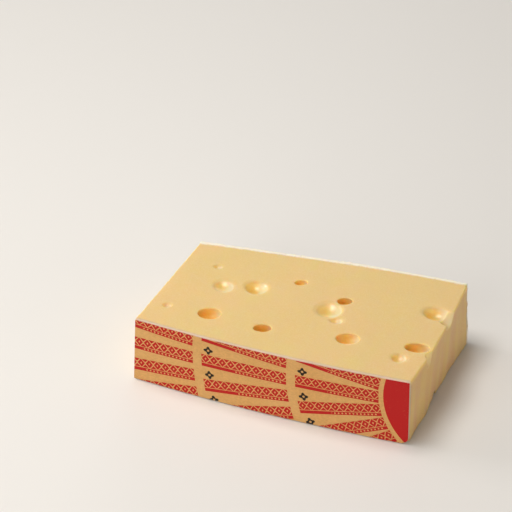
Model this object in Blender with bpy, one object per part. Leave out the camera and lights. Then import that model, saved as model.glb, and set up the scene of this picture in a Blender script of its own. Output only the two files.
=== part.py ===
"""A slab cut from a wheel of holed hard cheese, lying on a cut side, with a paper label on its rind.

The slab's long axis (X) runs along the wheel's radius, so its +X end is cut near the wheel's
centre and its -X end is cut near the rim. The label covers the rind on -Y, and the wheel's other
rind is on +Y. The slab rests on its lower cut side at z = 0. Metres, +Z up, origin at the centre
of the bounding box's base.
"""

import math
from dataclasses import dataclass

import bmesh
import bpy
from mathutils import Euler, Matrix, Vector

# Slab
LENGTH = 0.340          # along the label
INNER_WIDTH = 0.202     # rind to rind at the end near the wheel's centre
OUTER_WIDTH = 0.167     # rind to rind at the end near the rim
OUTER_SLANT = 0.0175    # how far the outer cut runs inwards from the label to the back rind
OUTER_LEAN = 0.003      # how far the outer cut's foot stands out past its top
HEIGHT = 0.093          # at the label's inner end, where the slab is thickest
DROP_ALONG = 0.003      # how much lower the top is at the outer end
DROP_ACROSS = 0.003     # how much lower the top is at the back rind
LABEL_BULGE = 0.0065    # the label face's bow, end to end
BACK_BULGE = 0.004      # the back rind's bow, end to end
INNER_BULGE = 0.003     # the inner cut's bow, rind to rind
ARC_STEPS = 24

# Label
PAPER = 0.0004
GLUE_GAP = 0.0003
LABEL_MARGIN = 0.0012   # rind left bare along the label's upper and lower edges
LABEL_END_GAP = 0.0004

# Bounding box centre, seen from the corner where the label meets the inner cut
CENTRE_X = (INNER_BULGE - LENGTH - OUTER_LEAN) / 2
CENTRE_Y = (INNER_WIDTH - LABEL_BULGE - GLUE_GAP - PAPER) / 2

EYE_SEGMENTS = 16
EYE_RINGS = 10
WELD_DISTANCE = 0.00001

PASTE_COLOR = (0.79, 0.60, 0.27)
PASTE_ROUGHNESS = 0.45
KRAFT_COLOR = (0.70, 0.40, 0.14)
KRAFT_ROUGHNESS = 0.6


@dataclass(frozen=True)
class Eye:
    """A gas hole that a cut has opened: where its mouth is, how wide it is and how deep.

    The stretch lengthens its mouth one way and narrows it the other, the turn is that way's angle
    in degrees, and a tall eye is a ball drawn out at a right angle to the cut.
    """

    face: str
    along: float
    across: float
    mouth: float
    depth: float
    stretch: float = 1.0
    turn: float = 0.0
    tall: float = 1.0

    def radius(self) -> float:
        """Return the radius of the ball before it is stretched and drawn out."""
        half = self.mouth / 2
        depth = self.depth / self.tall
        return (half ** 2 + depth ** 2) / (2 * depth)


# Mouth places are measured from the corner where the label meets the inner cut: along the label
# and towards the back rind on the flat sides, towards the back rind and up on the two ends.
EYES = (
    Eye("top", -0.263, 0.040, 0.0238, 0.018, 1.13, 20.0),
    Eye("top", -0.195, 0.036, 0.0166, 0.014, 1.19, 20.0),
    Eye("top", -0.183, 0.134, 0.0119, 0.009, 1.22, 22.0),
    Eye("top", -0.122, 0.118, 0.0150, 0.013, 1.20, 18.0),
    Eye("top", -0.134, 0.096, 0.0290, 0.0065, 1.04, 30.0),
    Eye("top", -0.119, 0.080, 0.0127, 0.004, 1.15, 10.0),
    Eye("top", -0.095, 0.052, 0.0233, 0.013, 1.17, 17.0),
    Eye("top", -0.013, 0.134, 0.0280, 0.009, 1.15, 6.0),
    Eye("top", 0.004, 0.129, 0.0200, 0.0135, 1.00, 0.0, 1.35),
    Eye("top", -0.013, 0.064, 0.0225, 0.015, 1.28, 8.0),
    Eye("top", 0.003, 0.056, 0.0165, 0.020, 1.00, 0.0, 2.20),
    Eye("top", -0.027, 0.039, 0.0160, 0.006, 1.06, 15.0),
    Eye("top", -0.286, 0.129, 0.0100, 0.003, 1.18, 20.0),
    Eye("top", -0.266, 0.096, 0.0230, 0.005, 1.04, -15.0),
    Eye("top", -0.229, 0.107, 0.0256, 0.008, 1.03, 0.0),
    Eye("top", -0.315, 0.038, 0.0105, 0.003, 1.12, 20.0),
    Eye("base", -0.292, 0.058, 0.0230, 0.010, 1.15, 10.0),
    Eye("base", -0.236, 0.122, 0.0170, 0.013, 1.20, 0.0),
    Eye("base", -0.216, 0.040, 0.0120, 0.005, 1.18, -10.0),
    Eye("base", -0.128, 0.052, 0.0270, 0.019, 1.15, 5.0),
    Eye("base", -0.096, 0.138, 0.0210, 0.006, 1.12, 0.0),
    Eye("base", -0.052, 0.086, 0.0280, 0.020, 1.14, 0.0),
    Eye("outer", 0.052, 0.058, 0.0230, 0.011, 0.90, 8.0),
    Eye("outer", 0.104, 0.030, 0.0170, 0.013, 0.88, -6.0),
    Eye("outer", 0.131, 0.063, 0.0110, 0.004, 0.90, 0.0),
    Eye("inner", 0.090, 0.002, 0.0090, 0.004, 0.90, 0.0),
)


def clear_scene() -> None:
    """Remove every object from the scene."""
    for obj in list(bpy.data.objects):
        bpy.data.objects.remove(obj, do_unlink=True)


def make_collection(name: str) -> bpy.types.Collection:
    """Make a collection and link it to the scene."""
    collection = bpy.data.collections.new(name)
    bpy.context.scene.collection.children.link(collection)
    return collection


def make_material(name: str, color: tuple[float, float, float], roughness: float) -> bpy.types.Material:
    """Make a Principled material of one colour and roughness."""
    material = bpy.data.materials.new(name)
    material.use_nodes = True
    shader = material.node_tree.nodes["Principled BSDF"]
    shader.inputs["Base Color"].default_value = (*color, 1.0)
    shader.inputs["Roughness"].default_value = roughness
    shader.inputs["Metallic"].default_value = 0.0
    material.diffuse_color = (*color, 1.0)
    return material


def top_height(x: float, y: float) -> float:
    """Return the slab's height over a point of its base."""
    return HEIGHT + DROP_ALONG * x / LENGTH - DROP_ACROSS * y / INNER_WIDTH


def bowed_edge(start: Vector, end: Vector, bulge: float, offset: float = 0.0) -> list[Vector]:
    """Return points along an arc that bulges to the right of the way from start to end.

    Args:
        start: The arc's first point.
        end: The arc's last point.
        bulge: The arc's rise over its chord.
        offset: How far the points stand out from the arc.
    """
    chord = end - start
    forward = chord.normalized()
    outward = Vector((forward.y, -forward.x))
    radius = (chord.length ** 2 / 4 + bulge ** 2) / (2 * bulge)
    centre = (start + end) / 2 - outward * (radius - bulge)
    half_turn = math.asin(chord.length / 2 / radius)
    points = []
    for step in range(ARC_STEPS + 1):
        turn = half_turn * (2 * step / ARC_STEPS - 1)
        spoke = outward * math.cos(turn) + forward * math.sin(turn)
        points.append(centre + spoke * (radius + offset))
    return points


def extrude_outline(name: str, outline: list[Vector], margin: float) -> bpy.types.Object:
    """Extrude a flat outline into a closed slab between the base and the sloping top.

    Args:
        name: The object's name.
        outline: Corner points, measured from the label's inner corner.
        margin: Height left out along the base and the top.
    """
    curve = bpy.data.curves.new(name, "CURVE")
    curve.dimensions = "2D"
    curve.fill_mode = "BOTH"
    curve.extrude = HEIGHT / 2
    spline = curve.splines.new("POLY")
    spline.points.add(len(outline) - 1)
    for point, corner in zip(spline.points, outline):
        point.co = (corner.x, corner.y, 0.0, 1.0)
    spline.use_cyclic_u = True
    guide = bpy.data.objects.new(name + "_outline", curve)
    bpy.context.scene.collection.objects.link(guide)
    evaluated = guide.evaluated_get(bpy.context.evaluated_depsgraph_get())
    mesh = bpy.data.meshes.new_from_object(evaluated)
    mesh.name = name
    bpy.data.objects.remove(guide, do_unlink=True)

    shape = bmesh.new()
    shape.from_mesh(mesh)
    bmesh.ops.remove_doubles(shape, verts=shape.verts, dist=WELD_DISTANCE)
    for vert in shape.verts:
        x, y, z = vert.co
        if z > 0:
            vert.co.z = top_height(x, y) - margin
        else:
            vert.co.z = margin
            vert.co.x = x * (1 + OUTER_LEAN / LENGTH)
        vert.co.x -= CENTRE_X
        vert.co.y -= CENTRE_Y
    bmesh.ops.recalc_face_normals(shape, faces=shape.faces)
    shape.to_mesh(mesh)
    shape.free()
    return bpy.data.objects.new(name, mesh)


def slab_outline() -> list[Vector]:
    """Return the slab's outline, counterclockwise from the label's outer end."""
    label_outer = Vector((-LENGTH, 0.0))
    label_inner = Vector((0.0, 0.0))
    back_inner = Vector((0.0, INNER_WIDTH))
    back_outer = Vector((-LENGTH + OUTER_SLANT, OUTER_WIDTH))
    label_edge = bowed_edge(label_outer, label_inner, LABEL_BULGE)
    inner_edge = bowed_edge(label_inner, back_inner, INNER_BULGE)
    back_edge = bowed_edge(back_inner, back_outer, BACK_BULGE)
    return label_edge + inner_edge[1:-1] + back_edge


def label_outline() -> list[Vector]:
    """Return the outline of the paper's edge, as it lies on the bowed rind."""
    outer_end = Vector((-LENGTH + LABEL_END_GAP, 0.0))
    inner_end = Vector((-LABEL_END_GAP, 0.0))
    outside = bowed_edge(outer_end, inner_end, LABEL_BULGE, GLUE_GAP + PAPER)
    inside = bowed_edge(outer_end, inner_end, LABEL_BULGE, GLUE_GAP)
    return outside + inside[::-1]


def eye_centre(eye: Eye) -> Vector:
    """Return the centre of an eye's ball, from the centre of the slab's base."""
    out = eye.radius() * eye.tall - eye.depth
    if eye.face == "top":
        place = Vector((eye.along, eye.across, top_height(eye.along, eye.across) + out))
    elif eye.face == "base":
        place = Vector((eye.along, eye.across, -out))
    elif eye.face == "inner":
        place = Vector((out, eye.along, eye.across))
    else:
        end_x = -LENGTH + OUTER_SLANT * eye.along / OUTER_WIDTH
        place = Vector((end_x - OUTER_LEAN * (1 - eye.across / HEIGHT) - out, eye.along, eye.across))
    return place - Vector((CENTRE_X, CENTRE_Y, 0.0))


def add_eye_cutter(name: str, eye: Eye, cutters: bpy.types.Collection) -> None:
    """Add the ball that opens one eye."""
    mesh = bpy.data.meshes.new(name)
    ball = bmesh.new()
    bmesh.ops.create_uvsphere(ball, u_segments=EYE_SEGMENTS, v_segments=EYE_RINGS, radius=eye.radius())
    ball.to_mesh(mesh)
    ball.free()
    cutter = bpy.data.objects.new(name, mesh)
    size = Matrix.Diagonal((eye.stretch, 1 / eye.stretch, eye.tall, 1.0))
    turn = Matrix.Rotation(math.radians(eye.turn), 4, "Z")
    mesh.transform(turn @ size)
    if eye.face in ("inner", "outer"):
        mesh.transform(Euler((math.pi / 2, 0.0, math.pi / 2)).to_matrix().to_4x4())
    cutter.location = eye_centre(eye)
    cutter.display_type = "WIRE"
    cutter.hide_render = True
    cutters.objects.link(cutter)


def build_cheese(parts: bpy.types.Collection, cutters: bpy.types.Collection) -> None:
    """Build the slab of paste with its rinds, opened by its eyes."""
    cheese = extrude_outline("cheese", slab_outline(), 0.0)
    cheese.data.materials.append(make_material("cheese", PASTE_COLOR, PASTE_ROUGHNESS))
    parts.objects.link(cheese)
    for number, eye in enumerate(EYES, start=1):
        add_eye_cutter(f"eye_cutter_{number:02d}", eye, cutters)
    opening = cheese.modifiers.new("eyes", "BOOLEAN")
    opening.operation = "DIFFERENCE"
    opening.solver = "EXACT"
    opening.operand_type = "COLLECTION"
    opening.collection = cutters


def build_label(parts: bpy.types.Collection) -> None:
    """Build the paper label that lies on the front rind."""
    label = extrude_outline("label", label_outline(), LABEL_MARGIN)
    label.data.materials.append(make_material("label", KRAFT_COLOR, KRAFT_ROUGHNESS))
    parts.objects.link(label)


def main() -> None:
    """Build the slab and its label."""
    clear_scene()
    parts = make_collection("cheese_wedge")
    cutters = make_collection("eye_cutters")
    build_cheese(parts, cutters)
    build_label(parts)


main()
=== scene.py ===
"""Looks of a slab cut from a wheel of holed hard cheese, with a printed paper label on its rind.

The slab lies on a cut side. Its long axis (X) runs along the wheel's radius, the label covers the
rind on -Y, and the wheel's other rind is on +Y. Sizes are in metres.
"""

from __future__ import annotations

import logging
import math
from dataclasses import dataclass, field, replace
from enum import Enum
from functools import partialmethod

import bpy
import numpy as np
from mathutils import Euler, Matrix, Vector, noise

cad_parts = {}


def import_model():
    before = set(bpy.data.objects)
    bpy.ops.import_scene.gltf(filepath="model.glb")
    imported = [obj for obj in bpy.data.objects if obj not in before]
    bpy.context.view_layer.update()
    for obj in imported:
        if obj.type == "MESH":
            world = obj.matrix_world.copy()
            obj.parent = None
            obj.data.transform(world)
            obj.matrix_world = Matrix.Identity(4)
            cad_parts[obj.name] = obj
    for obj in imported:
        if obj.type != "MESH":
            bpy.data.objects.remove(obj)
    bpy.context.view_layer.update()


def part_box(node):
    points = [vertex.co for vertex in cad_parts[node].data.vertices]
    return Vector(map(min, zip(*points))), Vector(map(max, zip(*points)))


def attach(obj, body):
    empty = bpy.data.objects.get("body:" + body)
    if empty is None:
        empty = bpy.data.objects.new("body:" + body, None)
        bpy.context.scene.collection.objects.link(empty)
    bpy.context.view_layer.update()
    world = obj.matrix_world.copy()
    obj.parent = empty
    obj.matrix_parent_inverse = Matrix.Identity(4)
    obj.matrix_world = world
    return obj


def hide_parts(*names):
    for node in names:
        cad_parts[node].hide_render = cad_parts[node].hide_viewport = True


LOG = logging.getLogger("cheese_wedge")
Color = tuple[float, float, float]


class Face(Enum):
    """The cut sides of the slab that an eye can open on, with the directions they face.

    The inner cut is the one near the wheel's centre.
    """

    TOP = (0.0, 0.0, 1.0)
    BASE = (0.0, 0.0, -1.0)
    INNER = (1.0, 0.0, 0.0)
    OUTER = (-1.0, 0.0, 0.0)

    @property
    def is_end(self) -> bool:
        """Whether the side is one of the two end cuts."""
        return self in (Face.INNER, Face.OUTER)


class Pattern(Enum):
    """Noise patterns: the distance between lumps, a shift of the pattern's own, and its layers."""

    FLUTES = (0.022, 3.1, 1)
    BALLS = (1.3, 5.0, 1)
    LUMPS = (0.055, 7.9, 1)
    CRUMBS = (0.0042, 11.0, 3)
    RIND_LUMPS = (0.013, 17.0, 1)
    RIPPLES = (0.019, 21.0, 2)
    COCKLES = (0.045, 27.0, 1)


@dataclass(frozen=True)
class Eye:
    """A gas hole that a cut has opened.

    Attributes:
        face: The cut side it opens on.
        along: Mouth centre along the label, or towards the back rind on an end cut.
        across: Mouth centre towards the back rind, or up on an end cut.
        mouth: Width of the mouth.
        depth: Depth of the hollow below the cut.
        stretch: How much longer the mouth is one way, and narrower the other.
        turn: Direction of the longer way, in degrees from the first axis.
        tall: How far the ball is drawn out at a right angle to the cut.
    """

    face: Face
    along: float
    across: float
    mouth: float
    depth: float
    stretch: float = 1.0
    turn: float = 0.0
    tall: float = 1.0

    @property
    def radius(self) -> float:
        """Radius of the ball before it is stretched and drawn out."""
        depth = self.depth / self.tall
        return ((self.mouth / 2) ** 2 + depth**2) / (2 * depth)


EYES = (
    Eye(Face.TOP, -0.263, 0.040, 0.0238, 0.015, 1.13, 20.0),
    Eye(Face.TOP, -0.195, 0.036, 0.0166, 0.016, 1.19, 20.0),
    Eye(Face.TOP, -0.183, 0.134, 0.0119, 0.009, 1.22, 22.0),
    Eye(Face.TOP, -0.122, 0.118, 0.0150, 0.014, 1.20, 18.0),
    Eye(Face.TOP, -0.134, 0.096, 0.0290, 0.0065, 1.04, 30.0),
    Eye(Face.TOP, -0.119, 0.080, 0.0127, 0.004, 1.15, 10.0),
    Eye(Face.TOP, -0.095, 0.052, 0.0233, 0.013, 1.17, 17.0),
    Eye(Face.TOP, -0.013, 0.134, 0.0280, 0.009, 1.15, 6.0),
    Eye(Face.TOP, 0.006, 0.130, 0.0300, 0.0140, 1.00, 0.0, 1.10),
    Eye(Face.TOP, -0.013, 0.064, 0.0225, 0.015, 1.28, 8.0),
    Eye(Face.TOP, 0.009, 0.056, 0.0180, 0.022, 1.00, 0.0, 2.20),
    Eye(Face.TOP, -0.027, 0.039, 0.0160, 0.006, 1.06, 15.0),
    Eye(Face.TOP, -0.286, 0.129, 0.0100, 0.003, 1.18, 20.0),
    Eye(Face.TOP, -0.266, 0.096, 0.0230, 0.005, 1.04, -15.0),
    Eye(Face.TOP, -0.229, 0.107, 0.0256, 0.008, 1.03, 0.0),
    Eye(Face.TOP, -0.315, 0.038, 0.0105, 0.003, 1.12, 20.0),
    Eye(Face.BASE, -0.292, 0.058, 0.0230, 0.010, 1.15, 10.0),
    Eye(Face.BASE, -0.236, 0.122, 0.0170, 0.013, 1.20, 0.0),
    Eye(Face.BASE, -0.216, 0.040, 0.0120, 0.005, 1.18, -10.0),
    Eye(Face.BASE, -0.128, 0.052, 0.0270, 0.019, 1.15, 5.0),
    Eye(Face.BASE, -0.096, 0.138, 0.0210, 0.006, 1.12, 0.0),
    Eye(Face.BASE, -0.052, 0.086, 0.0280, 0.020, 1.14, 0.0),
    Eye(Face.OUTER, 0.052, 0.058, 0.0230, 0.011, 0.90, 8.0),
    Eye(Face.OUTER, 0.104, 0.030, 0.0170, 0.013, 0.88, -6.0),
    Eye(Face.OUTER, 0.131, 0.063, 0.0110, 0.004, 0.90, 0.0),
    Eye(Face.INNER, 0.094, 0.002, 0.0110, 0.005, 0.90, 0.0),
)


# Modelling helpers


def deselect_all() -> None:
    """Deselect every object, with no object in edit mode."""
    if bpy.context.object is not None and bpy.context.object.mode != "OBJECT":
        bpy.ops.object.mode_set(mode="OBJECT")
    bpy.ops.object.select_all(action="DESELECT")


def activate(piece: bpy.types.Object) -> None:
    """Make one piece the only selected and the active object.

    Args:
        piece: The object to work on.
    """
    deselect_all()
    piece.select_set(True)
    bpy.context.view_layer.objects.active = piece


def settle(piece: bpy.types.Object) -> None:
    """Put the piece's place, turn and scale into its mesh."""
    activate(piece)
    bpy.ops.object.transform_apply(location=True, rotation=True, scale=True)


def apply_modifier(piece: bpy.types.Object, kind: str, **settings: object) -> None:
    """Add a modifier to the piece and apply it.

    Args:
        piece: The object to work on.
        kind: The modifier's type.
        settings: Its properties.
    """
    modifier = piece.modifiers.new(kind.lower(), kind)
    for name, value in settings.items():
        setattr(modifier, name, value)
    activate(piece)
    bpy.ops.object.modifier_apply(modifier=modifier.name)


def read_rows(vertices: bpy.types.bpy_prop_collection, name: str) -> np.ndarray:
    """Read a property that has three numbers for each vertex of a mesh.

    Args:
        vertices: The mesh's collection that holds it.
        name: The property.

    Returns:
        The numbers as rows.
    """
    numbers = np.empty(len(vertices) * 3, np.float32)
    vertices.foreach_get(name, numbers)
    return numbers.reshape(-1, 3).astype(np.float64)


def read_points(piece: bpy.types.Object) -> np.ndarray:
    """Return the piece's vertices as rows."""
    return read_rows(piece.data.vertices, "co")


def read_normals(piece: bpy.types.Object) -> np.ndarray:
    """Return the normals at the piece's vertices as rows."""
    return read_rows(piece.data.vertex_normals, "vector")


def write_points(piece: bpy.types.Object, points: np.ndarray) -> None:
    """Move the piece's vertices to points given as rows."""
    piece.data.vertices.foreach_set("co", points.astype(np.float32).ravel())
    piece.data.update()


def noise_at(points: np.ndarray, pattern: Pattern, number: int = 0) -> np.ndarray:
    """Work out smooth noise at each point.

    Args:
        points: Places as rows.
        pattern: The pattern of the noise.
        number: A further shift, for a pattern that is used more than once.

    Returns:
        A number between about -1 and 1 for each point.
    """
    wavelength, seed, octaves = pattern.value
    seed += number
    values = np.empty(len(points))
    shift = Vector((seed, seed * 1.7, seed * 0.6))
    for index, point in enumerate(points / wavelength):
        place = Vector(point) + shift
        values[index] = noise.fractal(place, 1.0, 2.0, octaves) if octaves > 1 else noise.noise(place)
    return values


def ease(values: np.ndarray, start: float, end: float) -> np.ndarray:
    """Return a smooth step from 0 at start to 1 at end."""
    share = np.clip((values - start) / (end - start), 0.0, 1.0)
    return share * share * (3.0 - 2.0 * share)


def fall(values: np.ndarray, start: float, end: float) -> np.ndarray:
    """Return a smooth step from 1 at start to 0 at end."""
    return 1.0 - ease(values, start, end)


def mix(low: float | np.ndarray, high: float | np.ndarray, share: np.ndarray) -> np.ndarray:
    """Return what lies at a share of the way from low to high."""
    return low + (high - low) * share


def bow(share: np.ndarray) -> np.ndarray:
    """Return a bow that is 0 at both ends and 1 in the middle."""
    return 1 - (2 * share - 1) ** 2


# The slab's shape, shared by the cheese and its label


@dataclass
class SlabShape:
    """The slab's outer form, hung on the boxes of the fixed frame.

    Points are found with three shares: along is 0 at the outer cut and 1 at the inner cut, depth
    is 0 at the label and 1 at the back rind, and rise is 0 at the base and 1 at the top. The
    corner is where the base, the label's chord and the inner cut meet.
    """

    length: float = 0.340
    inner_width: float = 0.202
    outer_width: float = 0.167
    outer_slant: float = 0.0175
    outer_lean: float = 0.003
    drop_along: float = 0.003
    drop_across: float = 0.003
    label_bulge: float = 0.0065
    back_bulge: float = 0.004
    inner_bulge_top: float = 0.0048
    inner_bulge_base: float = -0.0016
    inner_flare: float = 0.0018
    inner_flare_base: float = 0.0042
    swell: float = 0.0004
    corner_wear: float = 0.0035
    wear_reach: float = 0.0045
    cad_inner_bulge: float = 0.003
    corner: Vector = field(default_factory=Vector)
    height: float = 0.0

    @classmethod
    def from_frame(cls) -> SlabShape:
        """Place the shape by the CAD box of the cheese.

        Returns:
            The slab's outer form in the frame.
        """
        shape = cls()
        low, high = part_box("cheese")
        shape.corner = Vector((high.x - shape.cad_inner_bulge, low.y + shape.label_bulge, low.z))
        shape.height = high.z - low.z
        return shape

    def flat_sided(self) -> SlabShape:
        """Return the same form before its sides are bowed and its top is tilted."""
        bows = (
            "outer_lean", "drop_along", "drop_across", "label_bulge", "back_bulge", "inner_bulge_top",
            "inner_bulge_base", "inner_flare", "inner_flare_base", "swell",
        )
        return replace(self, **dict.fromkeys(bows, 0.0))

    def top_height(self, x: np.ndarray, y: np.ndarray) -> np.ndarray:
        """Return the height of the top cut over places measured from the corner."""
        return self.height + self.drop_along * x / self.length - self.drop_across * y / self.inner_width

    def label_side(self, along: np.ndarray) -> np.ndarray:
        """Return how far the label's rind stands back from its end-to-end chord."""
        return -self.label_bulge * bow(along)

    def back_side(self, along: np.ndarray) -> np.ndarray:
        """Return how far the back rind is from the label's chord."""
        return mix(self.outer_width, self.inner_width, along) + self.back_bulge * bow(along)

    def inner_side(self, depth: np.ndarray, rise: np.ndarray) -> np.ndarray:
        """Return how far the inner cut stands past the corner."""
        flare = mix(self.inner_flare_base, self.inner_flare, rise)
        return mix(self.inner_bulge_base, self.inner_bulge_top, rise) * bow(depth) + flare * depth**2

    def outer_side(self, depth: np.ndarray, rise: np.ndarray) -> np.ndarray:
        """Return how far the outer cut is from the corner, which is below zero."""
        return -self.length + self.outer_slant * depth - self.outer_lean * (1 - rise)

    def place(self, along: np.ndarray, depth: np.ndarray, rise: np.ndarray) -> np.ndarray:
        """Find the points at three shares.

        Args:
            along: Shares towards the inner cut.
            depth: Shares towards the back rind.
            rise: Shares towards the top.

        Returns:
            Points as rows in the frame.
        """
        x = mix(self.outer_side(depth, rise), self.inner_side(depth, rise), along)
        y = mix(self.label_side(along), self.back_side(along), depth)
        z = self.top_height(x, y) * rise
        from_corner = ((1 - along) * self.length) ** 2 + (depth * self.inner_width) ** 2 + z**2
        wear = self.corner_wear * np.exp(-from_corner / self.wear_reach**2)
        z += wear
        x += self.swell * (2 * along - 1) - wear / 2
        y += self.swell * (2 * depth - 1)
        z += self.swell * rise
        return np.stack((x, y, z), axis=1) + np.array(self.corner)

    def shares(self, points: np.ndarray) -> tuple[np.ndarray, np.ndarray, np.ndarray]:
        """Find the shares of points near the slab's surface.

        Args:
            points: Places as rows in the frame.

        Returns:
            The shares along, across and up the slab.
        """
        x, y, z = (points - np.array(self.corner)).T
        rise = z / self.top_height(x, y)
        depth = y / self.inner_width
        for _ in range(3):
            outer = self.outer_side(depth, rise)
            along = (x - outer) / (self.inner_side(depth, rise) - outer)
            front = self.label_side(along)
            depth = (y - front) / (self.back_side(along) - front)
        return along, depth, rise

    def depth_below(self, face: Face, places: np.ndarray) -> np.ndarray:
        """Work out how deep places lie below a cut.

        Args:
            face: The cut.
            places: Points measured from the corner, as rows.

        Returns:
            A depth for each point.
        """
        x, y, z = places.T
        if face is Face.TOP:
            return self.top_height(x, y) - z
        if face is Face.BASE:
            return z
        depth, rise = y / self.inner_width, z / self.height
        if face is Face.INNER:
            return self.inner_side(depth, rise) - x
        return x - self.outer_side(depth, rise)

    def eye_placing(self, eye: Eye) -> Matrix:
        """Work out how a ball of radius 1 is laid into the slab as an eye's hollow.

        Args:
            eye: The eye.

        Returns:
            The ball's matrix.
        """
        radius = eye.radius
        mouth = np.array((eye.along, eye.across, 0.0))
        facing = Matrix.Identity(4)
        if eye.face.is_end:
            mouth = np.roll(mouth, 1)
            facing = Euler((math.pi / 2, 0.0, math.pi / 2)).to_matrix().to_4x4()
        out = self.depth_below(eye.face, mouth) + (radius * eye.tall - eye.depth)
        centre = Vector(mouth + out * np.array(eye.face.value)) + self.corner
        turn = Matrix.Rotation(math.radians(eye.turn), 4, "Z")
        size = Matrix.Diagonal((radius * eye.stretch, radius / eye.stretch, radius * eye.tall, 1.0))
        return Matrix.Translation(centre) @ facing @ turn @ size


# Material helpers


class Field:
    """A value that varies over a surface, with arithmetic that adds nodes to its material."""

    def __init__(self, graph: Graph, socket: bpy.types.NodeSocket) -> None:
        """Wrap a node's output."""
        self.graph = graph
        self.socket = socket

    def compute(self, operation: str, *others: Field | float) -> Field:
        """Return the result of a Math node on this and others."""
        return self.graph.math(operation, self, *others)

    def __rsub__(self, other: float) -> Field:
        """Return a number less this."""
        return self.graph.math("SUBTRACT", other, self)

    __add__ = partialmethod(compute, "ADD")
    __sub__ = partialmethod(compute, "SUBTRACT")
    __mul__ = partialmethod(compute, "MULTIPLY")
    __truediv__ = partialmethod(compute, "DIVIDE")
    __abs__ = partialmethod(compute, "ABSOLUTE")
    __lt__ = partialmethod(compute, "LESS_THAN")
    __gt__ = partialmethod(compute, "GREATER_THAN")


Value = Field | float | Color


class Graph:
    """The nodes of one material, with short calls for the ones that its finish needs."""

    def __init__(self, name: str) -> None:
        """Start a material with a plain Principled surface.

        Args:
            name: The material's name.
        """
        self.material = bpy.data.materials.new(name)
        self.material.use_nodes = True
        self.tree = self.material.node_tree
        self.shader = self.tree.nodes["Principled BSDF"]
        self.place = self.node("TexCoord", "Object", {})

    def node(self, kind: str, output: str | int, inputs: dict[str | int, Value | None],
             **settings: object) -> Field:
        """Add a node.

        Args:
            kind: The last part of the node's type.
            output: The output to use.
            inputs: What its inputs are fed with.
            settings: Its properties.

        Returns:
            The output.
        """
        made = self.tree.nodes.new("ShaderNode" + kind)
        for name, value in settings.items():
            setattr(made, name, value)
        for name, value in inputs.items():
            self.feed(made.inputs[name], value)
        return Field(self, made.outputs[output])

    def feed(self, socket: bpy.types.NodeSocket, value: Value | None) -> None:
        """Link a field into an input, or set the input.

        Args:
            socket: The input.
            value: A field, a number or a colour, or None to leave the input as it is.
        """
        if isinstance(value, Field):
            self.tree.links.new(value.socket, socket)
        elif isinstance(value, tuple) and socket.type == "RGBA":
            socket.default_value = (*value, 1.0)
        elif value is not None:
            socket.default_value = value

    def math(self, operation: str, *values: Value) -> Field:
        """Return the result of a Math node."""
        return self.node("Math", 0, dict(enumerate(values)), operation=operation)

    def axis(self, name: str) -> Field:
        """Return the X, Y or Z of the place on the piece."""
        return self.node("SeparateXYZ", name, {0: self.place})

    def attribute(self, name: str) -> Field:
        """Return a number stored on the piece's vertices."""
        return self.node("Attribute", "Fac", {}, attribute_name=name)

    def stretched(self, scale: tuple[float, float, float]) -> Field:
        """Return the place on the piece, scaled along each axis."""
        return self.node("Mapping", "Vector", {"Vector": self.place, "Scale": scale})

    def noise(self, scale: float, detail: float = 2.0, place: Field | None = None,
              distortion: float = 0.0) -> Field:
        """Return noise between 0 and 1 with scale lumps per metre and detail finer layers."""
        inputs = {"Vector": place or self.place, "Scale": scale, "Detail": detail, "Distortion": distortion}
        return self.node("TexNoise", "Fac", inputs)

    def ease(self, value: Value, start: float, end: float, low: float = 0.0, high: float = 1.0) -> Field:
        """Return a smooth step from low, where the value is start, to high, where it is end."""
        inputs = {"Value": value, "From Min": start, "From Max": end, "To Min": low, "To Max": high}
        return self.node("MapRange", "Result", inputs, interpolation_type="SMOOTHSTEP")

    def blend(self, under: Value, *layers: tuple[Value, Value]) -> Field:
        """Lay colours over one another.

        Args:
            under: The lowest colour.
            layers: The share from 0 to 1 that shows of each further colour, and the colour.

        Returns:
            The mixed colour.
        """
        for share, over in layers:
            under = self.node("Mix", 2, {0: share, 6: under, 7: over}, data_type="RGBA")
        return under

    def bump(self, height: Field, distance: float, strength: float = 1.0,
             normal: Field | None = None) -> Field:
        """Return a normal bent by a height from 0 to 1, over a distance in metres."""
        inputs = {"Height": height, "Distance": distance, "Strength": strength, "Normal": normal}
        return self.node("Bump", "Normal", inputs)

    def surface(self, **inputs: object) -> None:
        """Feed the Principled surface's inputs, named with underscores for spaces."""
        for name, value in inputs.items():
            self.feed(self.shader.inputs[name.replace("_", " ")], value)


# Cheese


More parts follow.
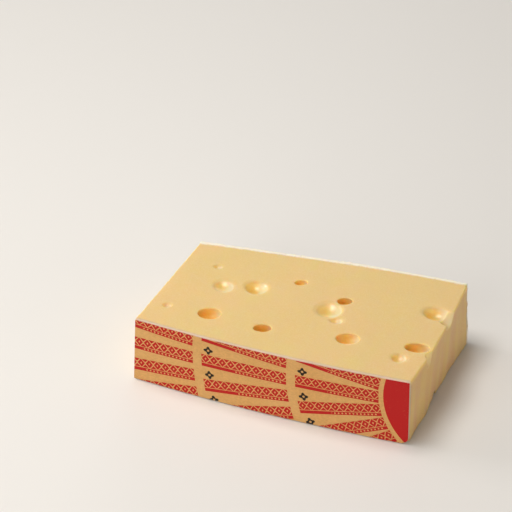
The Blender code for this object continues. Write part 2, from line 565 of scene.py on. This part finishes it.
@dataclass(frozen=True)
class CheeseFinish:
    """Cut paste, the moist walls of its eyes, and its dry rind."""

    straw: Color = (0.755, 0.545, 0.228)
    peach: Color = (0.775, 0.535, 0.238)
    butter: Color = (0.745, 0.560, 0.215)
    # Painted glow and shade: orange in the eyes' hollows, deepest at the floor, for light scattered inside
    # them.
    eye_wall_glow: Color = (0.97, 0.63, 0.165)
    eye_floor_glow: Color = (0.99, 0.52, 0.065)
    # Painted light: the pale cream of eye walls that face the light.
    lit_eye_cream: Color = (0.88, 0.77, 0.50)
    # Painted light: bright cream on the torn walls of eyes that break out at the edge.
    torn_cream: Color = (1.0, 0.755, 0.42)
    # Painted shade: the brown inside the small split at the foot of the inner cut.
    shaded_split_brown: Color = (0.36, 0.21, 0.09)
    # Painted light: the glow along the top of the end cuts, where light shines through the thin paste.
    lit_edge: Color = (0.97, 0.69, 0.22)
    # Painted shade: the deeper, warmer tone of the end cuts, streaked by the blade.
    shaded_end_cut: Color = (0.84, 0.545, 0.190)
    shaded_end_blush: Color = (0.81, 0.465, 0.205)
    near_rind: Color = (0.62, 0.45, 0.30)
    rind_cream: Color = (0.74, 0.58, 0.40)
    rind_bloom: Color = (0.83, 0.74, 0.60)
    rind_tan: Color = (0.60, 0.40, 0.19)
    front_rind: Color = (0.80, 0.58, 0.46)
    crumb: Color = (0.95, 0.89, 0.76)
    speck: Color = (0.95, 0.86, 0.66)

    def build(self) -> bpy.types.Material:
        """Make the material, which reads the attributes hollow, pale, torn, split, rind, skin,
        crumbs, end and edge.

        Returns:
            The material for the whole slab.
        """
        graph = Graph("cheese")
        names = ("hollow", "pale", "rind", "skin", "edge", "end")
        hollow, pale, rind, skin, edge, end = (graph.attribute(name) for name in names)
        clouds = graph.ease(graph.noise(11.0, 3.0), 0.38, 0.66)
        drifts = graph.ease(graph.noise(17.0, 2.0, distortion=0.6), 0.52, 0.74)
        speckle = graph.noise(620.0, 2.0)
        strokes = graph.noise(55.0, 3.0, graph.stretched((1.0, 1.0, 0.14)))
        # Painted shade on the end cuts: a deeper, warmer tone, with the blade's streaks.
        streaked_end_shade = graph.blend(self.shaded_end_blush, (graph.ease(strokes, 0.36, 0.64), self.shaded_end_cut))
        paste = graph.blend(
            self.straw,
            (clouds, self.peach),
            (drifts * 0.7, self.butter),
            (end * 0.85, streaked_end_shade),
            (graph.ease(skin, 0.0, 1.0, 0.0, 0.8), self.near_rind),
            # Painted light along the top of the end cuts.
            (edge * 0.8, self.lit_edge),
            # Painted glow and shade in the eyes' hollows, then painted light on their lit and torn walls
            # and painted shade in the split.
            (graph.ease(hollow, 0.02, 0.35), self.eye_wall_glow),
            (graph.ease(hollow, 0.25, 0.95), self.eye_floor_glow),
            # Painted light: pale cream on the eye walls that face away from the inner cut.
            (pale * 0.75, self.lit_eye_cream),
            # Painted light on the torn walls of eyes that break out at the edge.
            (graph.attribute("torn"), self.torn_cream),
            # Painted shade inside the small split at the foot of the inner cut.
            (graph.attribute("shaded_split") * 0.8, self.shaded_split_brown),
        )
        mould = graph.ease(graph.noise(60.0, 5.0, distortion=0.4), 0.42, 0.62)
        stain = graph.ease(graph.noise(24.0, 4.0), 0.50, 0.72)
        crust = graph.blend(
            self.rind_cream,
            (mould, self.rind_bloom),
            (stain * 0.65, self.rind_tan),
            (skin * 0.85, self.front_rind),
            (graph.attribute("crumbs") * 0.85, self.crumb),
        )
        faint_speckle = graph.ease(speckle, 0.35, 0.75, 0.0, 0.10)
        color = graph.blend(paste, (rind, crust), (faint_speckle, self.speck))

        grain = graph.bump(graph.noise(900.0, 3.0), 0.00025, 0.35)
        waves = graph.bump(graph.noise(70.0, 2.0), 0.0012, 0.25, grain)
        drag = graph.noise(60.0, 3.0, graph.stretched((1.0, 4.0, 0.35)))
        pull = graph.bump(drag, 0.0006, 0.12, waves)
        pits = graph.noise(420.0, 4.0, distortion=0.8)
        rough_crust = graph.bump(pits * rind, 0.0012, 0.8, pull)

        moist = graph.math("MAXIMUM", graph.ease(hollow, 0.02, 0.20), pale)
        dullness = graph.ease(moist, 0.0, 1.0, 0.52, 0.36) + rind * 0.35
        graph.surface(
            Base_Color=color,
            Roughness=dullness + speckle * 0.06,
            Normal=rough_crust,
            Subsurface_Weight=0.85 - rind * 0.6,
            Subsurface_Radius=(1.0, 0.60, 0.25),
            Subsurface_Scale=0.009,
            IOR=1.45,
            Specular_IOR_Level=graph.ease(moist, 0.0, 1.0, 0.25, 0.7),
            Coat_Weight=moist * 0.65,
            Coat_Roughness=0.27,
        )
        return graph.material


@dataclass
class CheeseSlab:
    """The slab of paste with the wheel's rind on its front and back.

    Attributes:
        shape: The slab's outer form.
        cuts: Subdivisions of each edge of the block.
        voxel: Grid step of the remesh.
        kept: Share of the remeshed faces that are kept.
        front_rind: Thickness of the thin rind under the label.
        back_rind: Thickness of the bare rind at the back.
        rim_sag: How far the rims of shallow eyes sag.
        rim_width: How far from the rim the sag reaches.
        shallow: Depth below which an eye's rim sags.
        rub_passes: Number of times that the remeshed skin is smoothed.
        ball_segments: Segments around the ball that cuts an eye.
        ball_rings: Rings of that ball.
        ball_lump: Unevenness of the ball, as a share of its radius.
        flute: Relief of the blade's flutes in the inner cut.
        faint_flute: The same for the outer cut and the back rind.
        lump: Relief of the inner cut's broad lumps.
        top_lump: The same for the top.
        back_lump: The same for the back rind.
        belly: How far the foot of the inner cut bellies out.
        belly_at: Where it does, as a share towards the back rind.
        belly_reach: How far it reaches each way, as a share.
        crumb: Relief of the rind's crumbs.
        rind_lump: Relief of the rind's lumps.
        wear: How far the front rind's edges are worn.
        lip: How far the back rind stands up over the top cut.
    """

    shape: SlabShape
    finish: CheeseFinish = CheeseFinish()
    cuts: int = 47
    voxel: float = 0.0011
    kept: float = 0.42
    front_rind: float = 0.0010
    back_rind: float = 0.0036
    rim_sag: float = 0.0009
    rim_width: float = 0.0045
    shallow: float = 0.009
    rub_passes: int = 3
    ball_segments: int = 40
    ball_rings: int = 24
    ball_lump: float = 0.045
    flute: float = 0.0008
    faint_flute: float = 0.0005
    lump: float = 0.0007
    top_lump: float = 0.0006
    back_lump: float = 0.0010
    belly: float = 0.0026
    belly_at: float = 0.28
    belly_reach: float = 0.09
    crumb: float = 0.0006
    rind_lump: float = 0.0005
    wear: float = 0.0004
    lip: float = 0.0008

    def block(self) -> bpy.types.Object:
        """Model the uncut block: a box whose narrow end is drawn in, subdivided and then bowed.

        Returns:
            The block.
        """
        shape = self.shape
        size = Vector((shape.length, shape.inner_width, shape.height))
        middle = shape.corner + Vector((-size.x, size.y, size.z)) / 2
        deselect_all()
        bpy.ops.mesh.primitive_cube_add(size=1.0, location=middle, scale=size)
        piece = bpy.context.object
        piece.name = "cheese_paste"
        settle(piece)
        bpy.ops.object.mode_set(mode="EDIT")
        bpy.ops.mesh.select_mode(type="VERT")
        bpy.ops.mesh.select_all(action="DESELECT")
        bpy.ops.object.mode_set(mode="OBJECT")
        for vertex in piece.data.vertices:
            vertex.select = vertex.co.x < middle.x and vertex.co.y > middle.y
        bpy.ops.object.mode_set(mode="EDIT")
        narrowing = shape.outer_width - shape.inner_width
        bpy.ops.transform.translate(value=(shape.outer_slant, narrowing, 0.0))
        bpy.ops.mesh.select_all(action="SELECT")
        bpy.ops.mesh.subdivide(number_cuts=self.cuts)
        bpy.ops.object.mode_set(mode="OBJECT")
        shares = np.stack(shape.flat_sided().shares(read_points(piece)), axis=1)
        write_points(piece, shape.place(*shares.T) + self.unevenness(shares))
        return piece

    def unevenness(self, shares: np.ndarray) -> np.ndarray:
        """Work out how far hand cuts and a soft rind stray from the ideal form.

        Args:
            shares: Places along, across and up the slab, as rows of shares.

        Returns:
            A move for each vertex.
        """
        places = self.shape.place(*shares.T)
        along, depth, rise = shares.T
        inner, outer, top, back = along > 0.999, along < 0.001, rise > 0.999, depth > 0.999
        flutes = noise_at(places * np.array((1.0, 1.0, 0.25)), Pattern.FLUTES)
        lumps = noise_at(places, Pattern.LUMPS)
        belly = np.exp(-(((depth - self.belly_at) / self.belly_reach) ** 2)) * fall(rise, 0.0, 0.7)
        moves = np.zeros_like(places)
        moves[:, 0] = inner * (self.flute * flutes + self.lump * lumps + self.belly * belly)
        moves[:, 0] += outer * self.faint_flute * flutes
        moves[:, 1] = back * (self.back_lump * lumps + self.faint_flute * flutes)
        moves[:, 2] = top * self.top_lump * lumps * np.minimum(1.0, 6.0 * depth)
        return moves

    def hollow_cutter(self) -> bpy.types.Object:
        """Model the hollows of all the eyes as one object of slightly uneven balls.

        Returns:
            The balls, each in its place.
        """
        deselect_all()
        bpy.ops.mesh.primitive_uv_sphere_add(segments=self.ball_segments, ring_count=self.ball_rings)
        pattern = bpy.context.object
        points = read_points(pattern)
        balls = []
        for number, eye in enumerate(EYES):
            ball = pattern.copy()
            ball.data = pattern.data.copy()
            bpy.context.scene.collection.objects.link(ball)
            swell = 1.0 + self.ball_lump * noise_at(points, Pattern.BALLS, number)
            write_points(ball, points * swell[:, None])
            ball.matrix_world = self.shape.eye_placing(eye)
            settle(ball)
            balls.append(ball)
        bpy.data.objects.remove(pattern, do_unlink=True)
        activate(balls[0])
        for ball in balls:
            ball.select_set(True)
        bpy.ops.object.join()
        return balls[0]

    def open_eyes(self, piece: bpy.types.Object) -> None:
        """Cut the hollows out of the block.

        Args:
            piece: The block.
        """
        cutter = self.hollow_cutter()
        cut = {"operation": "DIFFERENCE", "solver": "EXACT", "use_self": True}
        apply_modifier(piece, "BOOLEAN", object=cutter, **cut)
        bpy.data.objects.remove(cutter, do_unlink=True)

    def soften(self, piece: bpy.types.Object) -> None:
        """Round every rim and corner, because the paste is soft and cut by hand.

        Args:
            piece: The block with its hollows.
        """
        apply_modifier(piece, "REMESH", mode="VOXEL", voxel_size=self.voxel, use_smooth_shade=True)
        self.roll_rims(piece)
        apply_modifier(piece, "SMOOTH", factor=0.5, iterations=self.rub_passes)
        apply_modifier(piece, "DECIMATE", ratio=self.kept)
        bpy.ops.object.shade_smooth()

    def roll_rims(self, piece: bpy.types.Object) -> None:
        """Let the paste sag around the rims of the shallow eyes on the top, which aren't sharp.

        Args:
            piece: The block, evenly meshed.
        """
        points = read_points(piece)
        local = points - np.array(self.shape.corner)
        sag = np.zeros(len(points))
        for eye in EYES:
            if eye.face is not Face.TOP or eye.depth > self.shallow or eye.mouth < 0.012:
                continue
            turn = math.radians(eye.turn)
            x, y = local[:, 0] - eye.along, local[:, 1] - eye.across
            long_way = x * math.cos(turn) + y * math.sin(turn)
            short_way = y * math.cos(turn) - x * math.sin(turn)
            reach = np.hypot(long_way / eye.stretch, short_way * eye.stretch)
            off_rim = np.abs(reach - eye.mouth / 2)
            near_top = fall(self.shape.depth_below(eye.face, local), 0.002, 0.005)
            sag = np.maximum(sag, fall(off_rim, 0.0, self.rim_width) * near_top)
        points[:, 2] -= self.rim_sag * sag
        write_points(piece, points)

    def rind_gaps(self, points: np.ndarray) -> tuple[np.ndarray, np.ndarray]:
        """Work out how far points lie in from the front and the back rind.

        Args:
            points: Places as rows in the frame.

        Returns:
            The two distances, in thicknesses of the rind.
        """
        along, depth, _ = self.shape.shares(points)
        width = self.shape.back_side(along) - self.shape.label_side(along)
        return depth * width / self.front_rind, (1.0 - depth) * width / self.back_rind

    def crumble(self, piece: bpy.types.Object) -> None:
        """Make the back rind lumpy and its brittle edges crumbly, and wear the front rind's edges.

        Args:
            piece: The slab.
        """
        points = read_points(piece)
        normals = read_normals(piece)
        front, back = self.rind_gaps(points)
        near = np.minimum(front, back) < 2.5
        crumbs, lumps = np.zeros((2, len(points)))
        crumbs[near] = noise_at(points[near], Pattern.CRUMBS)
        lumps[near] = noise_at(points[near], Pattern.RIND_LUMPS)
        bare = fall(back, 0.3, 2.2) * (self.crumb * crumbs + self.rind_lump * lumps)
        worn = fall(front, 0.3, 2.2) * -self.wear * np.abs(crumbs)
        lip = fall(back, 0.5, 1.1) * ease(normals[:, 2], 0.3, 0.8) * self.lip
        points += normals * (bare + worn + lip)[:, None]
        points[:, 2] = np.maximum(points[:, 2], self.shape.corner.z)
        write_points(piece, points)

    def light_on_eye_walls(self, points: np.ndarray, normals: np.ndarray) -> tuple[np.ndarray, ...]:
        """Find the light and shade painted on the walls of the eyes.

        Deep walls get a painted orange glow and shade, for light scattered inside the hollow. Walls
        that face the inner cut get less light and look deep orange. Walls that face away from it get
        painted light in pale cream, and so do the thin, torn ones of eyes that break out at the edge.
        The small split at the foot of the inner cut gets painted shade in brown.

        Args:
            points: The vertices as rows.
            normals: Their normals as rows.

        Returns:
            How much painted orange glow, painted pale light, painted light on torn walls and painted
            shade in the split each point gets, from 0 to 1.
        """
        orange, pale, torn, shaded_split = np.zeros((4, len(points)))
        local = points - np.array(self.shape.corner)
        # Painted shade: walls that face the inner cut get less light, so they get more orange.
        shade_by_facing = np.clip(0.85 + 1.4 * normals[:, 0], 0.15, 1.7)
        for eye in EYES:
            unlay = np.array(self.shape.eye_placing(eye).inverted())
            within = np.linalg.norm(points @ unlay[:3, :3].T + unlay[:3, 3], axis=1)
            inside = fall(within, 1.05, 1.14)
            depth = self.shape.depth_below(eye.face, local)
            deep = inside * np.clip(depth / 0.014, 0.0, 1.0)
            opened = inside * ease(depth, 0.0003, 0.0020)
            if eye.face is Face.INNER:
                # Painted shade: brown inside the split.
                shaded_split = np.maximum(shaded_split, inside * ease(depth, 0.0002, 0.0016))
            elif eye.face is not Face.TOP:
                orange = np.maximum(orange, deep)
            elif eye.tall > 1.0:
                # Painted light: bright cream on the torn walls that face the label side.
                upper = fall(depth, 0.012, 0.026)
                torn = np.maximum(torn, opened * upper * ease(-normals[:, 1], -0.3, 0.4))
            else:
                shallow = fall(depth, 0.007, 0.012)
                orange = np.maximum(orange, deep * shade_by_facing)
                # Painted light: pale cream on shallow walls that face away from the inner cut.
                pale = np.maximum(pale, opened * shallow * ease(-normals[:, 0], -0.25, 0.6))
        # Painted light: the orange glow fades near the inner cut, where the thin walls get more light.
        orange *= ease(-local[:, 0], -0.006, 0.024) * 0.9 + 0.1
        return orange, pale, torn, shaded_split

    def mark(self, piece: bpy.types.Object) -> None:
        """Store where the eyes, the rind and the lit edges are, for the material, with the painted light
        and shade in the eyes, on the end cuts and along the lit edges.

        Args:
            piece: The slab.
        """
        points = read_points(piece)
        normals = read_normals(piece)
        below_top = self.shape.depth_below(Face.TOP, points - np.array(self.shape.corner))
        # Painted light: a glow along the top of the end cuts.
        edge = fall(below_top, 0.0005, 0.0085) * ease(np.abs(normals[:, 0]), 0.4, 0.75)
        front, back = self.rind_gaps(points)
        gap = np.minimum(front, back)
        band = fall(gap, 0.8, 1.5)
        facing = ease(np.abs(normals[:, 1]), 0.55, 0.80) * (gap < 2.0)
        marks = {
            "edge": edge,
            # Painted shade: full on the inner cut, which is in shade, and weaker on the outer cut.
            "end": ease(normals[:, 0], 0.5, 0.8) + 0.4 * ease(-normals[:, 0], 0.5, 0.8),
            "rind": np.maximum(band, facing),
            "skin": fall(front, 1.0, 5.0),
            "crumbs": fall(back, 0.8, 1.5) * ease(normals[:, 2], 0.1, 0.5),
        }
        marks.update(zip(("hollow", "pale", "torn", "shaded_split"), self.light_on_eye_walls(points, normals)))
        for name, values in marks.items():
            attribute = piece.data.attributes.new(name, "FLOAT", "POINT")
            attribute.data.foreach_set("value", values.astype(np.float32))

    def build(self) -> bpy.types.Object:
        """Model, mark and dress the slab.

        Returns:
            The finished piece, which stands for the CAD slab.
        """
        piece = self.block()
        self.open_eyes(piece)
        self.soften(piece)
        self.crumble(piece)
        self.mark(piece)
        piece.data.materials.clear()
        piece.data.materials.append(self.finish.build())
        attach(piece, "root")
        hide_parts("cheese")
        return piece


# Label


@dataclass(frozen=True)
class PrintLayout:
    """Rings of radial rows around the wheel's centre, printed on the label.

    Attributes:
        centre_out: How far the wheel's axis lies past the inner cut.
        centre_up: Height of the axis over the base.
        disc: Radius of the plain disc at the centre.
        inner_reach: Radius of the inner ends of the first ring's rows.
        ring_step: Distance from one ring of rows to the next.
        ring_gap: How far inside the inner ends of its rows a ring begins.
        row_length: Length of a row in the first ring.
        row_gain: How much longer the rows of the outer rings are.
        rows: Rows around each full ring, from the centre outwards.
        turn: Angle of the row beside the axis, in degrees.
        band: Height of a row's band of lozenges.
        lozenges: Number of lozenges in a band.
        lozenge: Half the width of a lozenge.
        heart: Half the width and half the height of the bare spot in a lozenge.
        dart: Half the width that a dart between lozenges gains per metre it rises.
        dart_tip: Height of a dart's tip over the band's middle line.
        bar: Half the height of the bar under a band.
        bar_drop: How far the bar's middle lies under the band's.
        bead_step: Distance between the bare beads in a bar.
        bead: Half the width, as a share of the step, and half the height of a bead.
        beaded: Where the beads start and end, as shares of the row.
        rosette: Radius of a rosette, to which its petals add.
        petal: How far the petals reach past the rosette's radius.
        rosette_eye: Radius of the rosette's bare middle.
        rosette_in: How far a rosette lies in from the row's outer end.
        rosette_up: How far a rosette lies over the row's middle line.
        row_lean: Share of the pitch by which a row's ground reaches further down than up.
        rosette_lean: The same share for the rosettes.
    """

    centre_out: float = 0.064
    centre_up: float = 0.0685
    disc: float = 0.095
    inner_reach: float = 0.1005
    ring_step: float = 0.1172
    ring_gap: float = 0.0100
    row_length: float = 0.1015
    row_gain: float = 0.0046
    rows: tuple[int, int, int] = (33, 54, 80)
    turn: float = -1.4
    band: float = 0.0122
    lozenges: int = 10
    lozenge: float = 0.0048
    heart: tuple[float, float] = (0.0012, 0.0017)
    dart: float = 0.92
    dart_tip: float = 0.0016
    bar: float = 0.0023
    bar_drop: float = 0.0092
    bead_step: float = 0.0046
    bead: tuple[float, float] = (0.28, 0.0014)
    beaded: tuple[float, float] = (0.39, 0.95)
    rosette: float = 0.0047
    petal: float = 0.0012
    rosette_eye: float = 0.0015
    rosette_in: float = 0.0090
    rosette_up: float = 0.0130
    row_lean: float = 0.13
    rosette_lean: float = -0.10


@dataclass(frozen=True)
class PrintedRows:
    """The print as fields over the label.

    Attributes:
        layout: The print's sizes.
        graph: The label's material.
        across: Distance from the wheel's axis towards the outer cut.
        up: Height over the axis.
    """

    layout: PrintLayout
    graph: Graph
    across: Field
    up: Field

    def nearest(self, lean: float) -> tuple[Field, ...]:
        """Find the place within the nearest printed row.

        Args:
            lean: Share of the pitch by which a row's ground reaches further down than up.

        Returns:
            The distance from the row's outer end, the height over its middle line, the row's
            length, and the distance from the axis.
        """
        layout, graph = self.layout, self.graph
        reach = graph.math("SQRT", self.across * self.across + self.up * self.up)
        angle = graph.math("ARCTAN2", self.up, self.across)
        ring_start = layout.inner_reach - layout.ring_gap
        second = reach > ring_start + layout.ring_step
        third = reach > ring_start + 2 * layout.ring_step
        pitches = [2 * math.pi / count for count in layout.rows]
        pitch = second * (pitches[1] - pitches[0]) + third * (pitches[2] - pitches[1]) + pitches[0]
        turn = math.radians(layout.turn)
        number = graph.math("ROUND", (angle - turn) / pitch + lean)
        swing = angle - turn - number * pitch
        length = second * layout.row_gain + layout.row_length
        row_end = (second + third) * layout.ring_step + (layout.inner_reach + layout.row_length)
        along = row_end - reach * graph.math("COSINE", swing)
        height = reach * graph.math("SINE", swing)
        return along, height, length, reach

    def red(self) -> Field:
        """Find where the lozenge bands, the bars under them and the disc are printed.

        Returns:
            1 on red print and 0 elsewhere.
        """
        layout, graph = self.layout, self.graph
        along, height, length, reach = self.nearest(layout.row_lean)
        inside = (along > 0.0) * (along < length)
        cell_length = length / layout.lozenges
        cell = graph.math("FRACT", along / cell_length) - 0.5
        sideways = abs(cell) * cell_length
        level = abs(height)
        lozenge = (sideways / layout.lozenge + level / (layout.band / 2)) < 1.0
        heart = (sideways / layout.heart[0] + level / layout.heart[1]) < 1.0
        from_edge = (0.5 - abs(cell)) * cell_length
        dart = (from_edge < (level - layout.dart_tip) * layout.dart) * (level < layout.band / 2)
        band = graph.math("MAXIMUM", lozenge - heart, dart)
        under = abs(height + layout.bar_drop)
        bar = under < layout.bar
        bead = graph.math("FRACT", along / layout.bead_step) - 0.5
        beads = (abs(bead) / layout.bead[0] + under / layout.bead[1]) < 1.0
        beaded = (along > length * layout.beaded[0]) * (along < length * layout.beaded[1])
        printed = graph.math("MAXIMUM", band, bar - bar * beads * beaded) * inside
        return graph.math("MAXIMUM", printed, reach < layout.disc)

    def black(self) -> Field:
        """Find where the small four-petalled rosettes over the rows are printed.

        Returns:
            1 on black print and 0 elsewhere.
        """
        layout, graph = self.layout, self.graph
        along, height, _, _ = self.nearest(layout.rosette_lean)
        side = along - layout.rosette_in
        level = height - layout.rosette_up
        reach = graph.math("SQRT", side * side + level * level)
        petals = graph.math("COSINE", graph.math("ARCTAN2", level, side) * 4.0)
        rosette = reach < petals * layout.petal + layout.rosette
        return rosette * (reach > layout.rosette_eye) * (along > 0.0)


@dataclass(frozen=True)
class LabelFinish:
    """Tan kraft paper, printed in red and black with a plain ornament."""

    kraft: Color = (0.82, 0.455, 0.158)
    kraft_dark: Color = (0.70, 0.380, 0.125)
    kraft_light: Color = (0.82, 0.50, 0.20)
    fleck: Color = (0.52, 0.28, 0.10)
    red: Color = (0.56, 0.016, 0.015)
    ink: Color = (0.025, 0.018, 0.014)
    layout: PrintLayout = PrintLayout()

    def build(self, shape: SlabShape) -> bpy.types.Material:
        """Make the material, with the print laid out around the wheel's axis.

        Args:
            shape: The slab's outer form, which places the axis.

        Returns:
            The material for the paper.
        """
        graph = Graph("label")
        fray = (graph.noise(900.0, 2.0) - 0.5) * 0.0004
        across = (shape.corner.x + self.layout.centre_out) - graph.axis("X") + fray
        up = graph.axis("Z") - (shape.corner.z + self.layout.centre_up) + fray
        rows = PrintedRows(self.layout, graph, across, up)
        red = rows.red()
        black = rows.black()

        fibres = graph.noise(420.0, 5.0, graph.stretched((0.7, 1.0, 1.1)), 0.5)
        clouds = graph.noise(28.0, 3.0)
        flecks = graph.ease(graph.noise(700.0, 2.0), 0.62, 0.74)
        worn = graph.ease(fibres, 0.20, 0.42, 0.90, 1.0)
        color = graph.blend(
            self.kraft_dark,
            (graph.ease(fibres, 0.30, 0.72), self.kraft),
            (graph.ease(clouds, 0.35, 0.70, 0.0, 0.35), self.kraft_light),
            (flecks * 0.25, self.fleck),
            (red * worn, self.red),
            (black * worn, self.ink),
        )
        relief = graph.bump(fibres, 0.0002, 0.5)
        cockle = graph.bump(graph.noise(45.0, 2.0), 0.0008, 0.35, relief)
        graph.surface(
            Base_Color=color,
            Roughness=graph.ease(fibres, 0.3, 0.7, 0.62, 0.52) - red * 0.08,
            Normal=cockle,
            Specular_IOR_Level=0.12,
            Sheen_Weight=0.02,
        )
        return graph.material


@dataclass
class PaperLabel:
    """The printed sheet that lies on the front rind.

    Attributes:
        shape: The slab's outer form, which the sheet follows.
        gap: Distance from the rind.
        paper: Thickness of the sheet.
        margin: Rind left bare along the upper and lower edges.
        end_gap: Rind left bare at the two ends.
        cuts: Subdivisions of each side of the sheet.
        ripple: How far the upper and lower edges stray.
        cockle: How far the damp sheet lifts off the rind.
    """

    shape: SlabShape
    finish: LabelFinish = LabelFinish()
    gap: float = 0.0003
    paper: float = 0.0003
    margin: float = 0.0010
    end_gap: float = 0.0004
    cuts: int = 99
    ripple: float = 0.00035
    cockle: float = 0.00015

    def sheet(self) -> bpy.types.Object:
        """Model the sheet: a subdivided plane, laid along the bowed rind and given thickness.

        Returns:
            The sheet.
        """
        length, height, corner = self.shape.length, self.shape.height, self.shape.corner
        middle = corner + Vector((-length / 2, 0.0, height / 2))
        upright = (math.pi / 2, 0.0, 0.0)
        deselect_all()
        bpy.ops.mesh.primitive_plane_add(size=length, location=middle, rotation=upright)
        piece = bpy.context.object
        piece.scale.y = height / length
        piece.name = "paper_label"
        settle(piece)
        bpy.ops.object.mode_set(mode="EDIT")
        bpy.ops.mesh.select_all(action="SELECT")
        bpy.ops.mesh.subdivide(number_cuts=self.cuts)
        bpy.ops.object.mode_set(mode="OBJECT")
        x, _, z = read_points(piece).T
        write_points(piece, self.lay(1.0 + (x - corner.x) / length, (z - corner.z) / height))
        apply_modifier(piece, "SOLIDIFY", thickness=self.paper, offset=1.0)
        return piece

    def lay(self, along: np.ndarray, rise: np.ndarray) -> np.ndarray:
        """Return where points of the flat sheet come to lie.

        Args:
            along: Shares along the sheet, 0 at the outer cut.
            rise: Shares up the sheet.

        Returns:
            Points just off the rind, as rows in the frame.
        """
        places = self.shape.place(along, np.zeros_like(along), rise)
        ripples = self.ripple * noise_at(places, Pattern.RIPPLES)
        places[:, 2] += (self.margin - ripples) * (1 - 2 * rise)
        places[:, 0] += self.end_gap * (1 - 2 * along)
        places[:, 1] -= self.gap + self.cockle * (1 + noise_at(places, Pattern.COCKLES))
        return places

    def build(self) -> bpy.types.Object:
        """Model and dress the label.

        Returns:
            The finished piece, which stands for the CAD label.
        """
        piece = self.sheet()
        activate(piece)
        bpy.ops.object.shade_smooth_by_angle(angle=math.radians(40.0))
        piece.data.materials.clear()
        piece.data.materials.append(self.finish.build(self.shape))
        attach(piece, "root")
        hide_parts("label")
        return piece


# Studio


@dataclass(frozen=True)
class Softbox:
    """A square area light that points at the slab."""

    name: str
    place: tuple[float, float, float]
    size: float
    power: float
    color: Color = (1.0, 1.0, 1.0)

    def build(self, target: Vector) -> None:
        """Add the light.

        Args:
            target: The point it shines at.
        """
        lamp = bpy.data.lights.new(self.name, "AREA")
        lamp.size = self.size
        lamp.energy = self.power
        lamp.color = self.color
        light = bpy.data.objects.new(self.name, lamp)
        light.location = self.place
        light.rotation_euler = (target - light.location).to_track_quat("-Z", "Y").to_euler()
        bpy.context.scene.collection.objects.link(light)


@dataclass
class Studio:
    """A pale floor, soft light and the camera.

    Attributes:
        shape: The slab's outer form, whose corner the camera is aimed from.
        azimuth: Camera's direction, in degrees from straight in front towards the inner cut.
        elevation: Camera's height, in degrees.
        distance: Camera's distance from its aim.
        lens: Focal length, in millimetres.
        aim_left: How far the aim lies to the camera's left of the slab's corner.
        aim_up: How far the aim lies above the slab's corner, as the camera sees it.
        sky_light: Strength of the even light from all around.
        floor_color: The floor's plain colour.
        sky_color: Colour of the even light.
    """

    shape: SlabShape
    azimuth: float = 20.8
    elevation: float = 37.8
    distance: float = 5.0
    lens: float = 304.4
    aim_left: float = 0.1768
    aim_up: float = 0.1821
    sky_light: float = 0.20
    floor_color: Color = (0.82, 0.795, 0.76)
    sky_color: Color = (1.0, 0.98, 0.95)
    softboxes: tuple[Softbox, ...] = (
        Softbox("overhead", (-0.36, -0.12, 1.90), 0.80, 20.5, (1.0, 0.98, 0.95)),
        Softbox("side", (-2.20, -0.12, 1.00), 0.7, 17.0, (1.0, 0.98, 0.95)),
        Softbox("front_fill", (-0.4, -1.9, 1.0), 1.4, 14.0, (1.0, 0.97, 0.93)),
        Softbox("back_fill", (-0.6, 2.1, 0.45), 1.2, 10.0, (1.0, 0.98, 0.95)),
        Softbox("right_fill", (2.1, -0.3, 0.5), 1.2, 5.0, (1.0, 0.93, 0.84)),
    )

    def floor(self) -> None:
        """Lay a plain pale floor."""
        deselect_all()
        bpy.ops.mesh.primitive_plane_add(size=40.0, location=(0.0, 0.0, self.shape.corner.z - 0.0002))
        floor = bpy.context.object
        floor.name = "floor"
        graph = Graph("floor")
        graph.surface(Base_Color=self.floor_color, Roughness=0.85, Specular_IOR_Level=0.1)
        floor.data.materials.append(graph.material)

    def camera(self) -> None:
        """Place a long lens that looks down at the corner where the label meets the inner cut."""
        azimuth, elevation = math.radians(self.azimuth), math.radians(self.elevation)
        back = Vector((
            math.sin(azimuth) * math.cos(elevation),
            -math.cos(azimuth) * math.cos(elevation),
            math.sin(elevation),
        ))
        right = Vector((math.cos(azimuth), math.sin(azimuth), 0.0))
        above = back.cross(right)
        corner = self.shape.corner + Vector((0.0, 0.0, self.shape.height / 2))
        aim = corner - right * self.aim_left + above * self.aim_up
        data = bpy.data.cameras.new("camera")
        data.lens = self.lens
        data.sensor_width = 36.0
        data.clip_end = 100.0
        camera = bpy.data.objects.new("camera", data)
        camera.location = aim + back * self.distance
        camera.rotation_euler = (-back).to_track_quat("-Z", "Y").to_euler()
        bpy.context.scene.collection.objects.link(camera)
        bpy.context.scene.camera = camera

    def build(self) -> None:
        """Build the floor, the lights, the sky and the camera."""
        self.floor()
        target = Vector((0.0, 0.0, self.shape.height / 2))
        for softbox in self.softboxes:
            softbox.build(target)
        world = bpy.data.worlds.new("studio")
        world.use_nodes = True
        sky = world.node_tree.nodes["Background"]
        sky.inputs["Color"].default_value = (*self.sky_color, 1.0)
        sky.inputs["Strength"].default_value = self.sky_light
        bpy.context.scene.world = world
        bpy.context.scene.view_settings.view_transform = "Standard"
        self.camera()


def main() -> None:
    """Build the cheese, its label and the studio around the fixed frame."""
    logging.basicConfig(level=logging.INFO, format="%(message)s")
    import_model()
    shape = SlabShape.from_frame()
    for part in (CheeseSlab(shape), PaperLabel(shape)):
        piece = part.build()
        LOG.info("%s: %d faces", piece.name, len(piece.data.polygons))
    Studio(shape).build()
    LOG.info("studio: floor, lights and camera")


if __name__ == "__main__":
    main()
